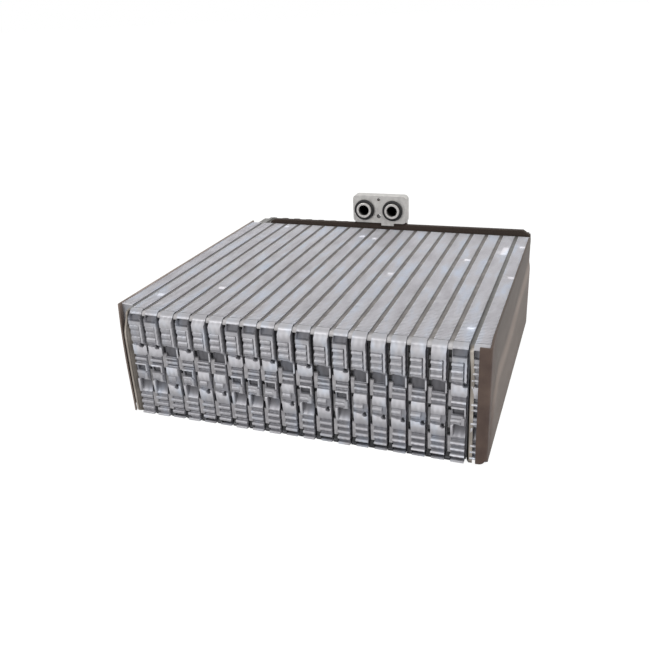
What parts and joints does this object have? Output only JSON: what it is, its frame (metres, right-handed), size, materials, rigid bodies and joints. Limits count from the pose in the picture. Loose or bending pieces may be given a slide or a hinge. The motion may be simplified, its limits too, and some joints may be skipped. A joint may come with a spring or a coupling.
{
  "type": "evaporator core",
  "caption": "Laminated evaporator core: flat tubes stacked with louvred corrugated fins between end plates, a rear tank and a connector block with two ports.",
  "frame": {"origin": "middle of the underside: centre of the width and of the depth, at the height of the fins' lower edges", "axes": "+X along the stack of tubes, +Y from the louvred front to the tank at the back, +Z along the air flow, up to the connector block; the ports face -Y"},
  "size_m": [0.273, 0.2764, 0.1167],
  "materials": {
    "tube_plate": "satin",
    "fin_foil": "satin",
    "end_plate": "matte",
    "foam_seal": "matte",
    "block": "satin",
    "pipe": "satin",
    "o_ring": "satin"
  },
  "bodies": {
    "root": {"connector_block": "block", "end_plate_left": "end_plate", "end_plate_right": "end_plate", "fin_01": "fin_foil", "fin_02": "fin_foil", "fin_03": "fin_foil", "fin_04": "fin_foil", "fin_05": "fin_foil", "fin_06": "fin_foil", "fin_07": "fin_foil", "fin_08": "fin_foil", "fin_09": "fin_foil", "fin_10": "fin_foil", "fin_11": "fin_foil", "fin_12": "fin_foil", "fin_13": "fin_foil", "fin_14": "fin_foil", "fin_15": "fin_foil", "fin_16": "fin_foil", "fin_17": "fin_foil", "fin_18": "fin_foil", "fin_19": "fin_foil", "fin_20": "fin_foil", "fin_21": "fin_foil", "flat_tube_01": "tube_plate", "flat_tube_02": "tube_plate", "flat_tube_03": "tube_plate", "flat_tube_04": "tube_plate", "flat_tube_05": "tube_plate", "flat_tube_06": "tube_plate", "flat_tube_07": "tube_plate", "flat_tube_08": "tube_plate", "flat_tube_09": "tube_plate", "flat_tube_10": "tube_plate", "flat_tube_11": "tube_plate", "flat_tube_12": "tube_plate", "flat_tube_13": "tube_plate", "flat_tube_14": "tube_plate", "flat_tube_15": "tube_plate", "flat_tube_16": "tube_plate", "flat_tube_17": "tube_plate", "flat_tube_18": "tube_plate", "flat_tube_19": "tube_plate", "flat_tube_20": "tube_plate", "o_ring_left": "o_ring", "o_ring_right": "o_ring", "pipe_left": "pipe", "pipe_right": "pipe", "pipe_saddle": "pipe", "port_stub_left": "pipe", "port_stub_right": "pipe", "seal_strip": "foam_seal", "tank_cap_left": "tube_plate", "tank_cap_right": "tube_plate"}
  },
  "joints": []
}
